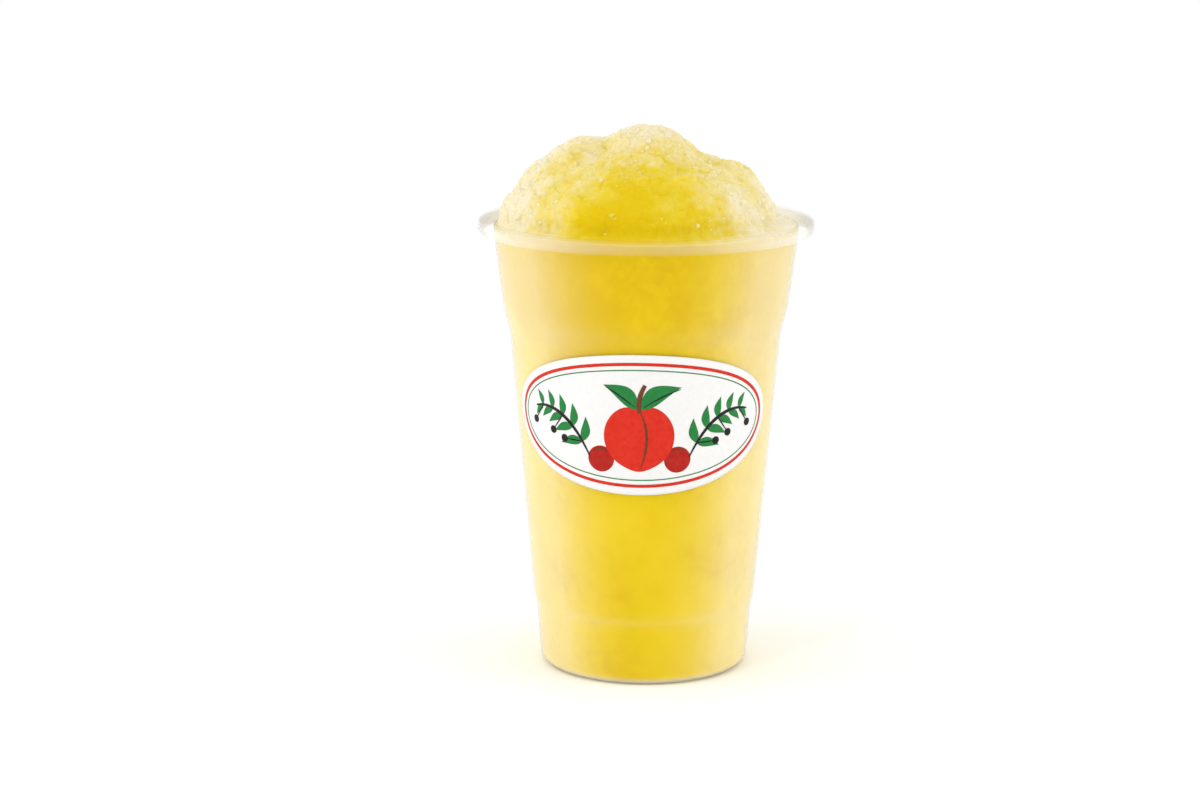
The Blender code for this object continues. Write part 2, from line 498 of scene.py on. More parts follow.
def floor_material():
    """Matt white, very slightly mottled."""
    material, tree, shader = new_material("pale_floor", Roughness=0.7, Specular_IOR_Level=0.0)
    mottle = cloudy_noise(tree, scale=3.0, detail=3.0, roughness=0.5)
    pale = (0.985, 0.985, 0.985)
    white = (1.0, 1.0, 1.0)
    tint = colour_ramp(tree, mottle, [(0.3, pale), (0.7, white)])
    tree.links.new(tint, shader.inputs["Base Color"])
    return material


def make_floor():
    bpy.ops.mesh.primitive_circle_add(vertices=FLOOR_SIDES, radius=FLOOR_RADIUS, fill_type="NGON")
    floor = bpy.context.object
    floor.name = "floor"
    floor.data.materials.append(floor_material())


def arc(centre_r, centre_z, radius_r, radius_z, start, end, points):
    """Points of an elliptical arc in the profile plane, both ends included, angles in degrees."""
    path = []
    for index in range(points):
        angle = math.radians(start + (end - start) * index / (points - 1))
        path.append((centre_r + radius_r * math.cos(angle), centre_z + radius_z * math.sin(angle)))
    return path


def rounded(path, cut, points):
    """The path with each corner replaced by a curve that starts and ends at most cut away from it."""
    result = [path[0]]
    for before, corner, after in zip(path, path[1:], path[2:]):
        here = Vector(corner)
        into = Vector(before) - here
        out = Vector(after) - here
        start = here + into.normalized() * min(cut, into.length * LONGEST_CUT)
        end = here + out.normalized() * min(cut, out.length * LONGEST_CUT)
        for index in range(points):
            share = index / (points - 1)
            bend = start.lerp(here, share).lerp(here.lerp(end, share), share)
            result.append((bend.x, bend.y))
    result.append(path[-1])
    return result


def inner_floor(points):
    """Inner face of the base, from the axis out to the inside of the standing ring."""
    ring_outer = HEEL_FOOT_RADIUS - CORNER_RADIUS
    ring_inner = ring_outer - RING_WIDTH
    floor_z = WALL + RECESS
    corners = [
        (0.0, floor_z),
        (ring_inner - RECESS_SLOPE, floor_z),
        (ring_inner, WALL),
        (ring_outer, WALL),
    ]
    return rounded(corners, RECESS_ROUNDING, points)


def inner_corner(points):
    """Inner face of the rounded corner between the base and the wall."""
    bend = CORNER_RADIUS - WALL
    centre_r = HEEL_FOOT_RADIUS - CORNER_RADIUS
    return arc(centre_r, CORNER_RADIUS, bend, bend, -90.0, CORNER_END, points)


def inner_wall(points):
    """Inner face of the wall, from the corner up to the neck under the rim, its steps rounded."""
    neck_z = CUP_HEIGHT - LIP_HEIGHT - WALL
    outside = [
        (HEEL_FOOT_RADIUS, CORNER_RADIUS),
        (HEEL_TOP_RADIUS, HEEL_TOP_Z),
        (WALL_FOOT_RADIUS, WALL_FOOT_Z),
        (WALL_TOP_RADIUS, WALL_TOP_Z),
        (BAND_FOOT_RADIUS, BAND_FOOT_Z),
        (NECK_RADIUS, neck_z),
    ]
    inside = [(radius - WALL, height) for radius, height in outside]
    return rounded(inside, SHOULDER_ROUNDING, points)[1:]


def lip():
    """Visible face of the rolled rim, from the inside over the top and down to its curled end."""
    crest_r = RIM_RADIUS - LIP_CORNER
    slope_z = CUP_HEIGHT - LIP_SLOPE
    slope_width = crest_r - (NECK_RADIUS - WALL)
    slope = arc(crest_r, slope_z, slope_width, LIP_SLOPE, 180.0, 90.0, LIP_SLOPE_POINTS)
    corner_z = CUP_HEIGHT - LIP_CORNER
    corner = arc(crest_r, corner_z, LIP_CORNER, LIP_CORNER, 90.0, 0.0, LIP_ARC_POINTS)
    end_r = RIM_RADIUS - LIP_END_RADIUS
    end_z = CUP_HEIGHT - LIP_HEIGHT + LIP_END_RADIUS
    curl = arc(end_r, end_z, LIP_END_RADIUS, LIP_END_RADIUS, 0.0, LIP_END, LIP_ARC_POINTS)
    return slope + corner[1:] + curl


def wall_radius(height):
    """Outer radius of the tapered main wall at a height."""
    share = (height - WALL_FOOT_Z) / (WALL_TOP_Z - WALL_FOOT_Z)
    return WALL_FOOT_RADIUS + share * (WALL_TOP_RADIUS - WALL_FOOT_RADIUS)


def slant_of(tree, normal=None):
    """How far a surface turns away from the viewer, as the squared sine of the angle."""
    layer = add_node(tree, "ShaderNodeLayerWeight", Blend=0.5)
    if normal is not None:
        tree.links.new(normal, layer.inputs["Normal"])
    cosine = maths(tree, "SUBTRACT", 1.0, layer.outputs["Facing"])
    return maths(tree, "SUBTRACT", 1.0, maths(tree, "MULTIPLY", cosine, cosine))


def haze(tree, slant, power, grazing, most):
    """Milky share of the plastic, which grows with its slant as the way through it grows."""
    bent = maths(tree, "POWER", slant, power)
    return maths(tree, "MINIMUM", maths(tree, "MULTIPLY", bent, grazing), most)


def wall_haze(tree, slant):
    """Milky share of the cup's wall."""
    steep = mapped_range(tree, slant, HAZE_START, 1.0)
    return haze(tree, steep, HAZE_POWER, HAZE_GRAZING, HAZE_MOST)


def curl_haze(tree):
    """Milky share that the rim's outer face adds when seen head on, less towards its foot."""
    inner = RIM_RADIUS - LIP_CORNER - WALL
    outer = mapped_range(tree, axis_distance(tree), inner, RIM_RADIUS, 0.0, LIP_HAZE_HEAD_ON)
    foot_z = CUP_HEIGHT - LIP_HEIGHT
    foot = mapped_range(tree, height_of(tree), foot_z, foot_z + LIP_FOOT_FADE, LIP_FOOT_SHARE, 1.0)
    return maths(tree, "MULTIPLY", outer, foot)


def lip_haze(tree, slant, round_slant):
    """Milky share of the rolled rim: most at its ends, slightly uneven, and less along its crest."""
    edge_part = maths(tree, "MULTIPLY", slant, LIP_EDGE_SHARE)
    round_part = maths(tree, "MULTIPLY", round_slant, 1.0 - LIP_EDGE_SHARE)
    lip_slant = maths(tree, "ADD", round_part, edge_part)
    share = haze(tree, lip_slant, LIP_HAZE_POWER, LIP_HAZE_GRAZING, LIP_HAZE_MOST)
    share = maths(tree, "MINIMUM", maths(tree, "ADD", share, curl_haze(tree)), LIP_HAZE_MOST)
    crest_foot = CUP_HEIGHT - LIP_CREST_DEPTH
    crest_top = CUP_HEIGHT - WALL
    crest = mapped_range(tree, height_of(tree), crest_foot, crest_top, 1.0, LIP_CREST_SHARE)
    share = maths(tree, "MULTIPLY", share, crest)
    clouds = cloudy_noise(tree, scale=160.0, detail=3.0)
    least = 1.0 - LIP_HAZE_SPREAD
    most = 1.0 + LIP_HAZE_SPREAD
    uneven = mapped_range(tree, clouds, LIP_NOISE_LOW, LIP_NOISE_HIGH, least, most)
    return maths(tree, "MULTIPLY", share, uneven)


def clear_colour(tree, round_slant):
    """Colour of the light that the plastic lets through, with painted shade: greyer at its edges and
    along the crest, where refraction shows darker surroundings.
    """
    middle = (1.0, 0.995, 0.97)
    # Painted shade: the plastic's edges let through greyer light
    edge = (0.90, 0.90, 0.89)
    colour = colour_ramp(tree, round_slant, [(0.88, middle), (1.0, edge)])
    # Painted shade along the crest
    shade_foot = CUP_HEIGHT - CREST_SHADE_DEPTH
    shade_full = CUP_HEIGHT - CREST_SHADE_DEPTH / 2
    near_crest = mapped_range(tree, height_of(tree), shade_foot, shade_full)
    return darkened(tree, colour, CREST_PAINTED_SHADE, near_crest)


def milk_colour(tree, round_slant, in_lip):
    """Colour of the milky share, with painted shade that darkens the outer face of the rim's ends."""
    bright = (0.95, 0.94, 0.92)
    # Painted shade for the outer face of the rim's ends
    painted_rim_shade = (0.80, 0.79, 0.77)
    outer = mapped_range(tree, axis_distance(tree), RIM_RADIUS - LIP_CORNER, RIM_RADIUS - WALL)
    rim_end = maths(tree, "MULTIPLY", round_slant, maths(tree, "MULTIPLY", in_lip, outer))
    return colour_ramp(tree, rim_end, [(0.5, bright), (0.95, painted_rim_shade)])


def cup_material():
    """Clear plastic with a faint milky tint and a soft gloss, whiter in its rolled rim, with painted
    shade at its edges, along its crest and at its rim's ends.
    """
    material, tree, shader = new_material("clear_plastic", Roughness=0.30, Specular_IOR_Level=0.5)
    slant = slant_of(tree)
    round_slant = slant_of(tree, outward(tree))
    lip_foot = CUP_HEIGHT - LIP_HEIGHT - WALL
    in_lip = mapped_range(tree, height_of(tree), lip_foot, lip_foot + WALL)
    clear = tree.nodes.new("ShaderNodeBsdfTransparent")
    tree.links.new(clear_colour(tree, round_slant), clear.inputs["Color"])
    tree.links.new(milk_colour(tree, round_slant, in_lip), shader.inputs["Base Color"])
    in_wall = wall_haze(tree, slant)
    lip_excess = maths(tree, "SUBTRACT", lip_haze(tree, slant, round_slant), in_wall)
    share = maths(tree, "ADD", in_wall, maths(tree, "MULTIPLY", in_lip, lip_excess))
    mix = tree.nodes.new("ShaderNodeMixShader")
    tree.links.new(share, mix.inputs["Fac"])
    tree.links.new(clear.outputs["BSDF"], mix.inputs[1])
    tree.links.new(shader.outputs["BSDF"], mix.inputs[2])
    tree.links.new(mix.outputs["Shader"], tree.nodes["Material Output"].inputs["Surface"])
    return material


def make_cup():
    """Sheet turned round the axis: its profile is the inner face, and Solidify adds the outside."""
    base = inner_floor(CUP_BEND_POINTS)[:-1] + inner_corner(CUP_CORNER_POINTS)
    profile = base + inner_wall(CUP_BEND_POINTS) + lip()
    mesh = bpy.data.meshes.new("clear_cup")
    vertices = [(radius, 0.0, height) for radius, height in profile]
    edges = [(index, index + 1) for index in range(len(profile) - 1)]
    mesh.from_pydata(vertices, edges, [])
    mesh.materials.append(cup_material())
    cup = link(bpy.data.objects.new("clear_cup", mesh))
    turn = cup.modifiers.new("turn", "SCREW")
    turn.steps = CUP_STEPS
    turn.render_steps = CUP_STEPS
    turn.use_merge_vertices = True
    turn.merge_threshold = MERGE_DISTANCE
    sheet = cup.modifiers.new("sheet", "SOLIDIFY")
    sheet.thickness = WALL
    sheet.offset = -1.0
    sheet.use_even_offset = True
    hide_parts("cup")
    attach(cup, "root")


def square_to_disc(u, v):
    """Ring share and angle for a point of the square from -1 to 1, whose rings become circles."""
    ring = max(abs(u), abs(v))
    if ring == 0.0:
        return 0.0, 0.0
    if abs(u) >= abs(v):
        angle = math.pi / 4 * v / u
        if u < 0.0:
            angle += math.pi
    else:
        angle = math.pi / 2 - math.pi / 4 * u / v
        if v < 0.0:
            angle += math.pi
    return ring, angle


def paleness(tree):
    """How pale the heap is: 1 at its top, 0 where syrup stands in the ice; partly syrup run off, partly
    painted light at its top and edge.
    """
    # Paler by height: partly syrup run off, partly painted sheen on the top
    drained_and_painted_light = mapped_range(tree, height_of(tree), PALE_FOOT_Z, PALE_TOP_Z, PALE_FOOT, PALE_TOP)
    # Painted light: paler towards the heap's edge
    edge = mapped_range(tree, axis_distance(tree), EDGE_LIGHT_INNER, EDGE_LIGHT_OUTER, 0.0, EDGE_PAINTED_LIGHT)
    drained_and_painted_light = maths(tree, "ADD", drained_and_painted_light, edge)
    for x, y, z, radius in SYRUP_POOLS:
        away = distance_from(tree, (x * MM, y * MM, z * MM))
        dry = mapped_range(tree, away, POOL_INNER * radius * MM, POOL_OUTER * radius * MM)
        drained_and_painted_light = maths(tree, "MULTIPLY", drained_and_painted_light, dry)
    wide = cloudy_noise(tree, scale=75.0, detail=2.0)
    wide = mapped_range(tree, wide, NOISE_LOW, NOISE_HIGH, -WIDE_CLOUDS, WIDE_CLOUDS)
    small = cloudy_noise(tree, scale=260.0, detail=3.0)
    small = mapped_range(tree, small, NOISE_LOW, NOISE_HIGH, -SMALL_CLOUDS, SMALL_CLOUDS)
    return maths(tree, "ADD", drained_and_painted_light, maths(tree, "ADD", wide, small))


def slush_shader(name, **values):
    """Material whose shader is wet, dense and lit from within, as ice grains in syrup are."""
    return new_material(
        name,
        IOR=1.33,
        Subsurface_Weight=0.5,
        Subsurface_Radius=(1.0, 0.8, 0.3),
        Subsurface_Scale=2.5 * MM,
        **values,
    )


def slush_in_cup_material():
    """Slush behind the plastic: even yellow with faint clouds and single grains against the wall."""
    material, tree, shader = slush_shader(
        "slush_in_cup",
        Roughness=0.3,
        Specular_IOR_Level=0.03,
        Sheen_Weight=1.0,
        Sheen_Roughness=0.45,
    )
    cells = icy_cells(tree, scale=640.0)
    clouds = cloudy_noise(tree, scale=42.0, detail=3.0)
    number = cell_number(tree, cells)
    grains = mapped_range(tree, number, 0.0, 1.0, -CELL_CONTRAST, CELL_CONTRAST)
    height = height_of(tree)
    higher = mapped_range(tree, height, PALER_TO_Z, DEEPER_FROM_Z, PALER_BELOW, DEEPER_ABOVE)
    tint = maths(tree, "ADD", maths(tree, "ADD", clouds, grains), higher)
    deep = (0.72, 0.505, 0.001)
    mid = (0.79, 0.59, 0.003)
    light = (0.83, 0.63, 0.015)
    base = colour_ramp(tree, tint, [(0.26, deep), (0.50, mid), (0.76, light)])
    tree.links.new(base, shader.inputs["Base Color"])
    bump(tree, shader, cells.outputs["Distance"], distance=0.1 * MM, strength=0.3)
    return material


def heap_material():
    """Slush of the heap: syrupy in its pools, pale where syrup has run off and with painted light at
    its top and edge, with a glint on its grains.
    """
    material, tree, shader = slush_shader(
        "slush_heap",
        Roughness=0.15,
        Specular_IOR_Level=0.14,
        Sheen_Weight=0.2,
        Sheen_Roughness=0.4,
    )
    tone = tree.nodes.new("ShaderNodeAttribute")
    tone.attribute_name = "grain_tone"
    grains = maths(tree, "MULTIPLY", tone.outputs["Fac"], GRAIN_CONTRAST)
    pale = maths(tree, "ADD", paleness(tree), grains)
    syrup = (0.71, 0.51, 0.002)
    wet = (0.745, 0.57, 0.035)
    # Colour of the pale parts: syrup run off, and painted light at the top and edge
    drained_and_painted_light = (0.80, 0.71, 0.465)
    base = colour_ramp(tree, pale, [(0.05, syrup), (0.35, wet), (1.0, drained_and_painted_light)])
    tree.links.new(base, shader.inputs["Base Color"])
    cells = icy_cells(tree, scale=900.0)
    bump(tree, shader, cells.outputs["Distance"], distance=0.25 * MM, strength=0.4)
    return material


def grid_place(row, column):
    """Place of a point of the heap's grid in the square from -1 to 1."""
    return 2.0 * column / HEAP_CELLS - 1.0, 2.0 * row / HEAP_CELLS - 1.0


def mesh_tree(node):
    """Search tree over a CAD node's faces."""
    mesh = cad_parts[node].data
    corners = [vertex.co for vertex in mesh.vertices]
    faces = [tuple(polygon.vertices) for polygon in mesh.polygons]
    return BVHTree.FromPolygons(corners, faces)


def heap_grid():
    """Points of the CAD heap on a fine square grid draped over it, its facets smoothed away."""
    tree = mesh_tree("slush")
    eye = Vector((0.0, 0.0, HEAP_EYE_Z))
    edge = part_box("slush")[1].x
    widest = math.atan2(edge, LEVEL_Z - HEAP_EYE_Z)
    side = HEAP_CELLS + 1
    points = np.zeros((side, side, 3))
    for row in range(side):
        for column in range(side):
            ring, angle = square_to_disc(*grid_place(row, column))
            polar = ring * widest
            across = math.sin(polar) * math.cos(angle)
            along = math.sin(polar) * math.sin(angle)
            points[row, column] = tree.ray_cast(eye, Vector((across, along, math.cos(polar))))[0]
    for _ in range(SMOOTHING_ROUNDS):
        neighbours = points[:-2, 1:-1] + points[2:, 1:-1] + points[1:-1, :-2] + points[1:-1, 2:]
        points[1:-1, 1:-1] = neighbours / 4.0
    return points


def grid_normals(points):
    """Unit normal at each grid point, facing out of the heap."""
    along_rows = np.gradient(points, axis=0)
    along_columns = np.gradient(points, axis=1)
    normals = np.cross(along_columns, along_rows)
    normals /= np.linalg.norm(normals, axis=2, keepdims=True)
    return normals


def crystals(point, size, shift):
    """Ice grains of about one size, each at its own height and slope, with a groove round it.

    Gives the height at the point as a share of the size, the grain's random number, and how deep
    in the groove the point lies.
    """
    spot = point / size + Vector(shift)
    distances, centres = noise.voronoi(spot)
    seed = centres[0] * SEED_SCALE
    number = noise.cell(seed)
    lean = noise.cell_vector(seed + Vector(LEAN_SHIFT))
    groove = 1.0 - min(1.0, (distances[1] - distances[0]) / GROOVE_SHARE)
    slope = lean.dot(spot - centres[0])
    height = GRAIN_RISE * number + GRAIN_LEAN * slope - GROOVE_DEPTH * groove
    return height, number, groove


def pool_distances(point):
    """Distance of a point from the middle of each syrup pool, as a share of the pool's radius."""
    distances = []
    for x, y, z, radius in SYRUP_POOLS:
        distances.append((point - Vector((x, y, z)) * MM).length / (radius * MM))
    return distances


def flooded(point):
    """How deep a point lies in standing syrup, 0 to 1."""
    depths = [min(1.0, POOL_DEPTH - POOL_FALL * away) for away in pool_distances(point)]
    return max(0.0, *depths)


def relief(point):
    """Height of the icy relief at a point, in metres, and how pale its grain looks."""
    lumps = noise.noise(point / LUMP_SIZE)
    clump, clump_number, clump_groove = crystals(point, CLUMP_SIZE, CLUMP_SHIFT)
    grain, grain_number, grain_groove = crystals(point, GRAIN_SIZE, GRAIN_SHIFT)
    bare = 1.0 - SUNK_IN_SYRUP * flooded(point)
    height = LUMP_HEIGHT * lumps + bare * (CLUMP_HEIGHT * clump + GRAIN_HEIGHT * grain)
    clump_tone = CLUMP_TONE * clump_number - CLUMP_GROOVE_TONE * clump_groove
    grain_tone = GRAIN_TONE * grain_number - GRAIN_GROOVE_TONE * grain_groove
    return height * MM, bare * grain_tone + clump_tone


def add_heap(shape):
    """Top of the slush: the draped grid, with icy relief that fades out at its edge."""
    points = heap_grid()
    normals = grid_normals(points)
    tones = shape.verts.layers.float.new("grain_tone")
    grid = []
    for row in range(HEAP_CELLS + 1):
        line = []
        for column in range(HEAP_CELLS + 1):
            u, v = grid_place(row, column)
            fade = min(1.0, (1.0 - max(abs(u), abs(v))) / RELIEF_FADE)
            point = Vector(points[row, column])
            height, tone = relief(point)
            vertex = shape.verts.new(point + Vector(normals[row, column]) * height * fade)
            vertex[tones] = tone
            line.append(vertex)
        grid.append(line)
    for near, far in zip(grid, grid[1:]):
        for column in range(HEAP_CELLS):
            shape.faces.new((near[column], near[column + 1], far[column + 1], far[column]))


def add_sides(shape):
    """Sides and foot of the slush: from the heap's edge down just inside the cup's wall."""
    brim = (NECK_RADIUS - WALL + EDGE_REACH, LEVEL_Z - EDGE_DROP)
    foot_path = inner_floor(WALL_BEND_POINTS)[1:-1] + inner_corner(WALL_CORNER_POINTS)
    wall_path = foot_path + inner_wall(WALL_BEND_POINTS) + [brim]
    edge = [line for line in shape.edges if line.is_boundary]
    for radius, height in reversed(wall_path):
        result = bmesh.ops.extrude_edge_only(shape, edges=edge)
        edge = [item for item in result["geom"] if isinstance(item, bmesh.types.BMEdge)]
        for vertex in {end for line in edge for end in line.verts}:
            away = Vector((vertex.co.x, vertex.co.y, 0.0)).normalized()
            vertex.co = away * (radius + REACH) + Vector((0.0, 0.0, height - REACH))
    bmesh.ops.contextual_create(shape, geom=edge)
    bmesh.ops.recalc_face_normals(shape, faces=shape.faces)


def make_slush():
    """Slush in one piece: the heap with icy relief, and sides that reach just into the cup's wall."""
    shape = bmesh.new()
    add_heap(shape)
    add_sides(shape)
    mesh = bpy.data.meshes.new("icy_slush")
    shape.to_mesh(mesh)
    shape.free()
    mesh.shade_smooth()
    mesh.materials.append(heap_material())
    mesh.materials.append(slush_in_cup_material())
    for face in mesh.polygons[HEAP_CELLS * HEAP_CELLS:]:
        face.material_index = 1
    slush = link(bpy.data.objects.new("icy_slush", mesh))
    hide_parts("slush")
    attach(slush, "root")
    return slush


def grain_material():
    """Wet ice chips: glossy, and paler than the slush they lie on."""
    material, tree, shader = new_material(
        "ice_grains",
        Roughness=0.2,
        IOR=1.31,
        Specular_IOR_Level=0.3,
        Sheen_Weight=0.2,
        Sheen_Roughness=0.5,
    )
    number = cell_number(tree, icy_cells(tree, scale=500.0))
    paler = mapped_range(tree, number, 0.0, 1.0, LEAST_PALER, MOST_PALER)
    pale = maths(tree, "ADD", paleness(tree), paler)
    syrup = (0.80, 0.61, 0.07)
    wet = (0.82, 0.68, 0.19)
    # Colour of chips on the pale parts, partly painted light
    drained_and_painted_light = (0.86, 0.78, 0.52)
    base = colour_ramp(tree, pale, [(0.1, syrup), (0.5, wet), (1.0, drained_and_painted_light)])
    tree.links.new(base, shader.inputs["Base Color"])
    return material


def chip():
    """Corners and faces of a round chip with twenty sides, of radius 1."""
    shape = bmesh.new()
    bmesh.ops.create_icosphere(shape, subdivisions=1, radius=1.0)
    corners = np.array([vertex.co[:] for vertex in shape.verts])
    faces = np.array([[vertex.index for vertex in face.verts] for face in shape.faces])
    shape.free()
    return corners, faces


def dryness(point):
    """Share of loose grains that lie at a point: in clusters, and few where syrup stands in the ice."""
    share = 1.0
    for away in pool_distances(point):
        share *= min(1.0, max(CHIPS_IN_SYRUP, away - SYRUP_MARGIN))
    clusters = 1.0 + CLUSTER_STRENGTH * noise.noise(point / CHIP_CLUSTER)
    return share * max(CHIPS_BETWEEN, clusters)


def loose_grain(face, corners, draws):
    """Corners of one chip of its own size, shape and turn, half sunk in the heap at a face."""
    size = CHIP_RADIUS * math.exp(draws.normal(0.0, CHIP_SPREAD))
    stretch = size * draws.uniform(*CHIP_STRETCH, 3)
    turn = Euler(draws.uniform(0.0, 2.0 * math.pi, 3)).to_matrix()
    jag = 1.0 + draws.normal(0.0, CHIP_JAG, (len(corners), 1))
    spot = np.array(face.center + face.normal * size * draws.uniform(*CHIP_SINK))
    return (corners * jag * stretch) @ np.array(turn) + spot


def make_grains(slush):
    """Loose ice grains strewn over the heap, joined in one mesh."""
    draws = np.random.default_rng(CHIP_SEED)
    tops = [face for face in slush.data.polygons if face.center.z > CUP_HEIGHT]
    weights = np.array([face.area * dryness(face.center) for face in tops])
    chosen = draws.choice(len(tops), size=CHIP_COUNT, p=weights / weights.sum())
    corners, faces = chip()
    all_corners = np.concatenate([loose_grain(tops[index], corners, draws) for index in chosen])
    all_faces = np.concatenate([faces + number * len(corners) for number in range(CHIP_COUNT)])
    mesh = bpy.data.meshes.new("ice_grains")
    mesh.from_pydata(all_corners.tolist(), [], all_faces.tolist())
    mesh.shade_smooth()
    mesh.materials.append(grain_material())
    grains = link(bpy.data.objects.new("ice_grains", mesh))
    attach(grains, "root")


def label_material():
    """Coated white paper with a faint fibre."""
    material, tree, shader = new_material("label_paper", Roughness=0.42, Specular_IOR_Level=0.3)
    fibre = cloudy_noise(tree, scale=900.0, detail=4.0)
    shade = (0.80, 0.79, 0.775)
    white = (0.84, 0.83, 0.81)
    tint = colour_ramp(tree, fibre, [(0.3, shade), (0.7, white)])
    tree.links.new(tint, shader.inputs["Base Color"])
    bump(tree, shader, fibre, distance=0.02 * MM, strength=0.4)
    return material


def ink_material(name, colour):
    """Printed colour with the paper's fibre showing faintly through it."""
    material, tree, shader = new_material("ink_" + name, Roughness=0.4, Specular_IOR_Level=0.12)
    fibre = cloudy_noise(tree, scale=700.0, detail=4.0)
    thin = [min(1.0, channel * INK_THINNING + PAPER_SHOWING) for channel in colour]
    tint = colour_ramp(tree, fibre, [(0.35, colour), (0.75, thin)])
    tree.links.new(tint, shader.inputs["Base Color"])
    return material


def on_label(across, up, lift):
    """Point of the flat label, in mm from its middle, wrapped on the cup, lift off its wall."""
    height = LABEL_CENTRE_Z + up * MM
    turn = LABEL_TURN + across * MM / wall_radius(LABEL_CENTRE_Z)
    radius = wall_radius(height) + lift
    return Vector((radius * math.sin(turn), -radius * math.cos(turn), height))


def label_sheet(name, patches, lift, thickness, material):
    """Thin closed sheet wrapped on the cup, made of patches.

    A patch is a function that maps the square from -1 to 1 to the flat label, in mm, with the
    columns and rows of its grid.
    """
    shape = bmesh.new()
    for flat_point, columns, rows in patches:
        grid = bmesh.ops.create_grid(shape, x_segments=columns, y_segments=rows, size=1.0)
        for vertex in grid["verts"]:
            across, up = flat_point(vertex.co.x, vertex.co.y)
            vertex.co = on_label(across, up, lift + thickness)
    shape.normal_update()
    for face in shape.faces:
        middle = face.calc_center_median()
        if face.normal.dot(Vector((middle.x, middle.y, 0.0))) < 0.0:
            face.normal_flip()
    mesh = bpy.data.meshes.new(name)
    shape.to_mesh(mesh)
    shape.free()
    mesh.shade_smooth()
    mesh.materials.append(material)
    sheet = link(bpy.data.objects.new(name, mesh))
    body = sheet.modifiers.new("body", "SOLIDIFY")
    body.thickness = thickness
    body.offset = -1.0
    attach(sheet, "root")
    return sheet


def oval(centre, half_width, half_height, columns=16, rows=16):
    """Filled ellipse on the flat label."""
    def flat_point(u, v):
        ring, angle = square_to_disc(u, v)
        x = centre[0] + ring * half_width * math.cos(angle)
        y = centre[1] + ring * half_height * math.sin(angle)
        return x, y
    return flat_point, columns, rows


def oval_line(half_width, half_height, width):
    """Line of even width along an ellipse round the label's middle."""
    def flat_point(u, v):
        angle = math.pi * u
        x = half_width * math.cos(angle)
        y = half_height * math.sin(angle)
        away = Vector((math.cos(angle) / half_width, math.sin(angle) / half_height)).normalized()
        return x + away.x * v * width / 2, y + away.y * v * width / 2
    return flat_point, LINE_STEPS, 2


def leaf(foot, length, width, turn, bend=LEAF_BEND):
    """Pointed leaf that starts at its foot and grows along its turn, bent a little to one side."""
    def flat_point(u, v):
        share = (u + 1.0) / 2
        swell = math.sin(math.pi * share ** LEAF_FULLNESS)
        half = width / 2 * swell * (1.0 - LEAF_NARROWING * share)
        x = share * length
        y = v * half + bend * length * math.sin(math.pi * share)
        across = foot[0] + x * math.cos(turn) - y * math.sin(turn)
        up = foot[1] + x * math.sin(turn) + y * math.cos(turn)
        return across, up
    return flat_point, LEAF_COLUMNS, LEAF_ROWS


def stroke(start, middle, end, width, taper=0.4):
    """Pen stroke along a curve through three control points, thinner at its ends."""
    first = Vector(start)
    second = Vector(middle)
    third = Vector(end)

    def flat_point(u, v):
        share = (u + 1.0) / 2
        here = first.lerp(second, share).lerp(second.lerp(third, share), share)
        way = (second - first).lerp(third - second, share).normalized()
        half = width / 2 * (taper + (1.0 - taper) * math.sin(math.pi * share))
        return here.x - way.y * v * half, here.y + way.x * v * half
    return flat_point, STROKE_STEPS, 2


def peach(centre, size):
    """Round fruit with a cleft at its top and a slight point at its foot."""
    def flat_point(u, v):
        ring, angle = square_to_disc(u, v)
        from_top = abs((angle - math.pi / 2 + math.pi) % (2.0 * math.pi) - math.pi)
        from_foot = math.pi - from_top
        cleft = CLEFT_DEPTH * math.exp(-(from_top / CLEFT_ANGLE) ** 2)
        point = POINT_HEIGHT * math.exp(-(from_foot / POINT_ANGLE) ** 2)
        reach = size * (1.0 - cleft + point)
        x = centre[0] + PEACH_WIDENING * ring * reach * math.cos(angle)
        y = centre[1] + ring * reach * math.sin(angle)
        return x, y
    return flat_point, PEACH_CELLS, PEACH_CELLS


def at_side(side, place):
    """A place given for the label's right side, or its mirror image for side -1."""
    return Vector((side * place[0], place[1]))


def sprig(side):
    """Stems, leaves and berries of the twig at one side of the label, from its foot outwards."""
    foot = at_side(side, TWIG_FOOT)
    bend = at_side(side, TWIG_BEND)
    tip = at_side(side, TWIG_TIP)
    stems = [stroke(foot, bend, tip, STEM_WIDTH)]
    leaves = []
    berries = []
    for index in range(LEAF_PAIRS):
        share = FIRST_PAIR + PAIR_STEP * index
        spot = foot.lerp(bend, share).lerp(bend.lerp(tip, share), share)
        lean = math.radians(FOOT_LEAN - LEAN_LOSS * share)
        size = FIRST_LEAF - LEAF_LOSS * index
        for spread in (LEAF_SPREAD, -LEAF_SPREAD):
            turn = lean + spread if side > 0 else math.pi - lean - spread
            leaves.append(leaf(spot, size, size * LEAF_WIDTH_SHARE, turn, TWIG_LEAF_BEND * side))
        if index % 2 == 0:
            offset = at_side(side, NEXT_BERRIES if index else FIRST_BERRY)
            end = spot + offset
            berries.append(oval(end, BERRY_RADIUS, BERRY_RADIUS, BERRY_CELLS, BERRY_CELLS))
            stems.append(stroke(spot, spot + offset * BERRY_STALK_BEND, end, FINE_STROKE))
    return stems, leaves, berries


def enlarged(patches):
    """The patches drawn MOTIF_SCALE times as large, out from the label's middle."""
    def larger(flat_point):
        return lambda u, v: Vector(flat_point(u, v)) * MOTIF_SCALE
    return [(larger(flat_point), columns, rows) for flat_point, columns, rows in patches]


def label_half_width():
    """Half the flat label's width, in mm."""
    return LABEL_HALF_ANGLE * wall_radius(LABEL_CENTRE_Z) / MM


def line_inside(inset, width):
    """Line of even width that runs round the label at a distance from its edge, all in mm."""
    return oval_line(label_half_width() - inset, LABEL_HALF_HEIGHT / MM - inset, width)


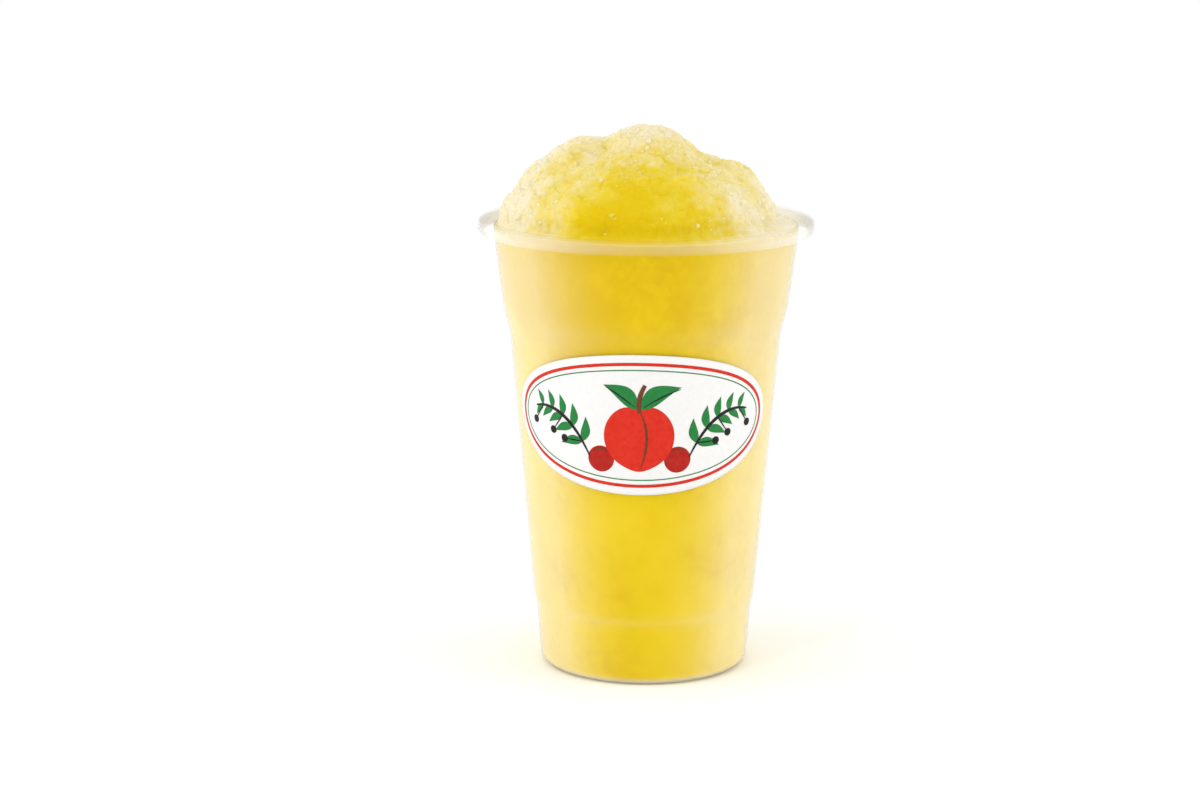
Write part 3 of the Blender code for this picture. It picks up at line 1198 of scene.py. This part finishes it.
def small_fruits():
    """Round fruit at each side of the peach's foot."""
    fruits = []
    for side in (-1, 1):
        centre = at_side(side, SMALL_FRUIT_PLACE)
        fruits.append(oval(centre, SMALL_FRUIT_HALF_WIDTH, SMALL_FRUIT_HALF_HEIGHT))
    return fruits


def crown():
    """The two leaves at the peach's stalk."""
    right = leaf((0.3, 4.2), length=11.5, width=5.0, turn=0.50)
    left = leaf((-0.3, 4.2), length=10.5, width=4.6, turn=math.pi - 0.62, bend=-LEAF_BEND)
    return [right, left]


def brown_strokes():
    """The peach's crease and stalk, and a short arch over each small fruit."""
    crease = stroke((0.2, 3.6), (3.6, -3.0), (0.4, -11.2), width=0.7, taper=0.2)
    stalk = stroke((0.1, 3.2), (-0.5, 7.0), (1.5, 10.4), width=1.2, taper=0.8)
    arches = []
    for side in (-1, 1):
        inner = at_side(side, (8.2, -6.9))
        top = at_side(side, (9.9, -5.7))
        outer = at_side(side, (11.6, -6.9))
        arches.append(stroke(inner, top, outer, width=0.4))
    return [crease, stalk] + arches


def veins():
    """Fine line along each leaf of the crown."""
    right = stroke((1.2, 4.7), (6.0, 8.0), (10.2, 9.2), FINE_STROKE)
    left = stroke((-1.2, 4.9), (-5.0, 8.0), (-8.2, 9.9), FINE_STROKE)
    return [right, left]


def print_shapes():
    """The label's printed shapes as patches, by ink and from the lowest layer up."""
    left_stems, left_leaves, left_berries = sprig(-1)
    right_stems, right_leaves, right_berries = sprig(1)
    stems = left_stems + right_stems
    leaves = left_leaves + right_leaves
    berries = left_berries + right_berries
    band = line_inside(BAND_INSET, BAND_WIDTH)
    thin_line = line_inside(LINE_INSET, LINE_WIDTH)
    return {
        "dark_red": enlarged(small_fruits()),
        "red": [band] + enlarged([peach(PEACH_CENTRE, PEACH_RADIUS)]),
        "green": [thin_line] + enlarged(leaves + crown()),
        "brown": enlarged(brown_strokes()),
        "black": enlarged(stems + berries + veins()),
    }


def make_label():
    """Oval paper label wrapped round the front of the main wall, its print in thin films of ink."""
    half_height = LABEL_HALF_HEIGHT / MM
    paper = oval((0.0, 0.0), label_half_width(), half_height, LABEL_COLUMNS, LABEL_ROWS)
    label = label_sheet("label_paper", [paper], LABEL_LIFT, LABEL_THICKNESS, label_material())
    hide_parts("label")
    for layer, (name, patches) in enumerate(print_shapes().items()):
        lift = LABEL_LIFT + LABEL_THICKNESS + INK_GAP * (layer + 1)
        label_sheet("print_" + name, patches, lift, INK_GAP / 2, ink_material(name, INKS[name]))


make_camera()
make_lights()
make_floor()
make_cup()
make_grains(make_slush())
make_label()
